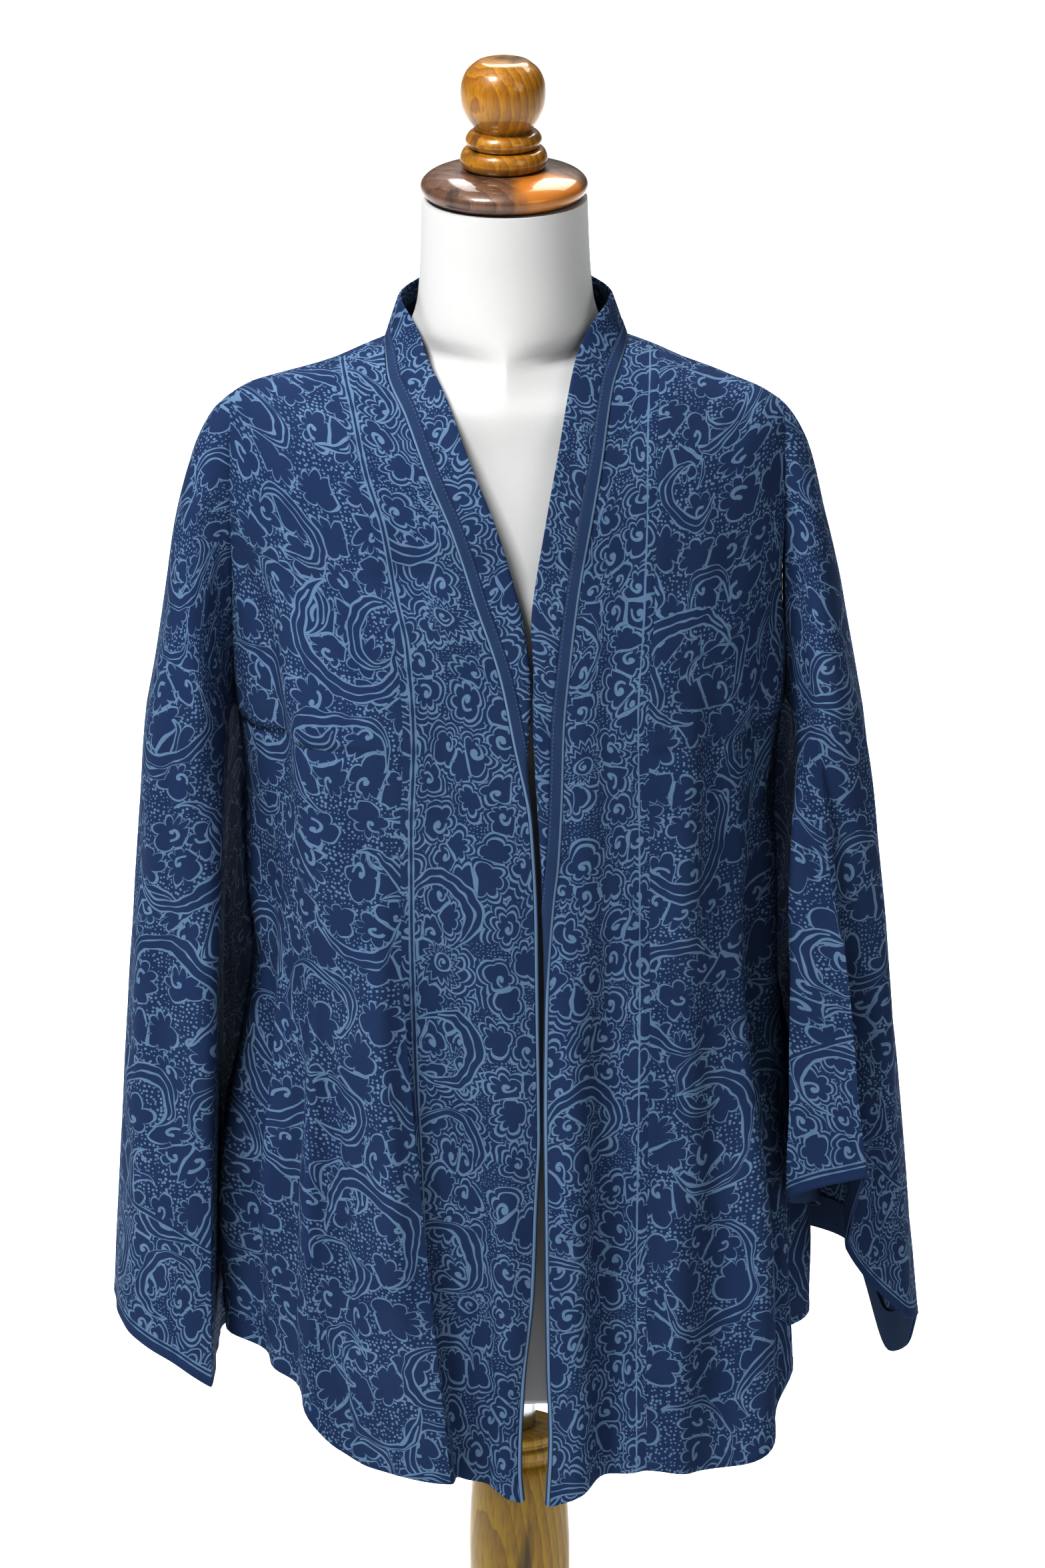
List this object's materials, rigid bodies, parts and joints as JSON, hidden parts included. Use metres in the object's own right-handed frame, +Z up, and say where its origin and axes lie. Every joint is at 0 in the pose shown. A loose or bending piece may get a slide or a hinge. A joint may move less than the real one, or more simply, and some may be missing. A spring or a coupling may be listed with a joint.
{
  "type": "kimono jacket on a dress form",
  "caption": "Open-front kimono jacket in batik-printed cotton with a band collar and wide straight sleeves, worn by a limbless dress form on a turned wooden stand.",
  "frame": {"origin": "middle of the base's underside", "axes": "+Z up, +X towards the wearer's left, the fronts facing -Y"},
  "size_m": [0.5699, 0.2816, 1.3362],
  "materials": {
    "printed_cotton": "matt wax-resist print",
    "plain_cotton": "matt",
    "jersey": "matt",
    "varnished_wood": "gloss varnish",
    "steel": "bright"
  },
  "bodies": {
    "root": {"back": "printed_cotton", "front_centre_right": "printed_cotton", "front_centre_left": "printed_cotton", "front_side_right": "printed_cotton", "front_side_left": "printed_cotton", "sleeve_right": "printed_cotton", "sleeve_left": "printed_cotton", "collar": "printed_cotton", "collar_trim": "plain_cotton", "cuff_facing_left": "plain_cotton", "torso": "jersey", "finial": "varnished_wood", "neck_cap": "varnished_wood", "column": "varnished_wood", "base": "varnished_wood", "rod": "steel"}
  },
  "joints": []
}
